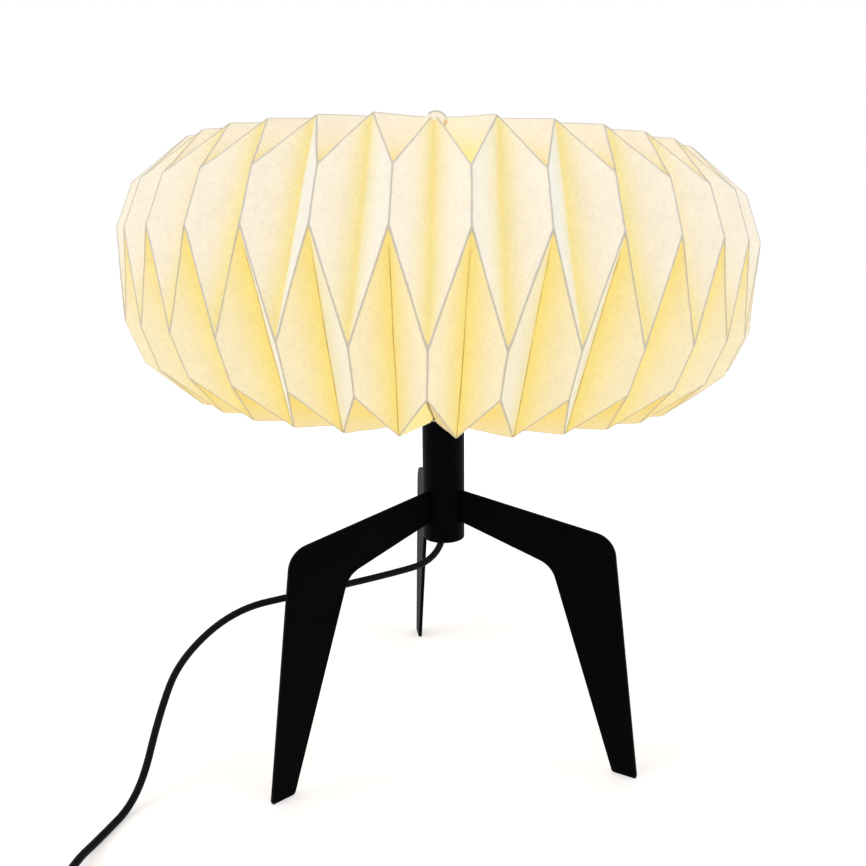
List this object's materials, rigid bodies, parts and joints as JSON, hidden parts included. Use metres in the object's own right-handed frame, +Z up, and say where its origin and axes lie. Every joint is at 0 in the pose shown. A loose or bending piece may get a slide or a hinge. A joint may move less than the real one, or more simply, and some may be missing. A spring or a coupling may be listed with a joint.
{
  "type": "table lamp",
  "caption": "Table lamp with a round lantern shade of folded paper on a black tube, three bent plate legs, lampholder, bulb, wire frame and a mains lead with switch and plug.",
  "frame": {"origin": "on the tube's axis at the level the feet stand on", "axes": "+Z up along the tube, -Y towards the front, +X to the right seen from the front"},
  "size_m": [0.4265, 0.5035, 0.4324],
  "materials": {
    "black_steel": "matt black powder coat",
    "black_plastic": "satin",
    "black_cord": "matt",
    "zinc_steel": "zinc plated",
    "holder_plastic": "moulded phenolic",
    "holder_ceramic": "unglazed",
    "brass": "bright",
    "shade_paper": "fibrous, lit from inside",
    "string": "twisted cotton",
    "white_wire": "white enamel",
    "bulb_metal": "rolled",
    "bulb_black": "gloss",
    "bulb_white": "satin",
    "bulb_opal": "opal",
    "board_aluminium": "white mask",
    "chip_yellow": "phosphor",
    "rocker_plastic": "gloss",
    "pin_metal": "nickel plated"
  },
  "bodies": {
    "stand": {"leg_left": "black_steel", "leg_right": "black_steel", "leg_rear": "black_steel", "stem_tube": "black_steel", "gland_seat": "black_plastic", "cord_gland": "black_plastic", "cord_in_tube": "black_cord", "tube_top_plug": "zinc_steel", "threaded_nipple": "zinc_steel", "nipple_nuts": "zinc_steel", "lampholder_cap": "holder_plastic", "lampholder_shell": "holder_plastic", "shade_ring": "holder_plastic", "lampholder_core": "holder_ceramic", "terminal_screws": "brass", "lamp_screw_shell": "brass", "centre_contact": "brass", "cord_free": "black_cord", "cord_tail": "black_cord", "cord_coil": "black_cord", "cord_lead": "black_cord", "switch_base": "black_plastic", "switch_cover": "black_plastic", "switch_screws": "zinc_steel", "plug_body": "black_plastic", "plug_pins": "pin_metal", "pin_sleeves": "black_plastic"},
    "shade": {"paper_sheet_right": "shade_paper", "paper_sheet_rear": "shade_paper", "paper_sheet_left": "shade_paper", "top_drawstring": "string", "bottom_drawstring": "string", "frame_hub": "white_wire", "frame_arms": "white_wire", "frame_hoop": "white_wire"},
    "bulb": {"bulb_tip": "bulb_metal", "bulb_insulator": "bulb_black", "bulb_cap": "bulb_metal", "bulb_housing": "bulb_white", "bulb_globe": "bulb_opal", "led_board": "board_aluminium", "led_chips": "chip_yellow"},
    "rocker": {"switch_rocker": "rocker_plastic"}
  },
  "joints": [
    {"name": "shade_turn", "type": "hinge", "parent": "stand", "child": "shade", "pos_m": [0, 0, 0.302], "axis": [0, 0, 1], "continuous": true},
    {"name": "bulb_lift", "type": "slide", "parent": "stand", "child": "bulb", "axis": [0, 0, 1], "range_m": [0, 0.17]},
    {"name": "switch_press", "type": "hinge", "parent": "stand", "child": "rocker", "pos_m": [-0.217, -0.203, 0.0125], "axis": [1, 0, 0], "range_deg": [-24, 0]}
  ]
}
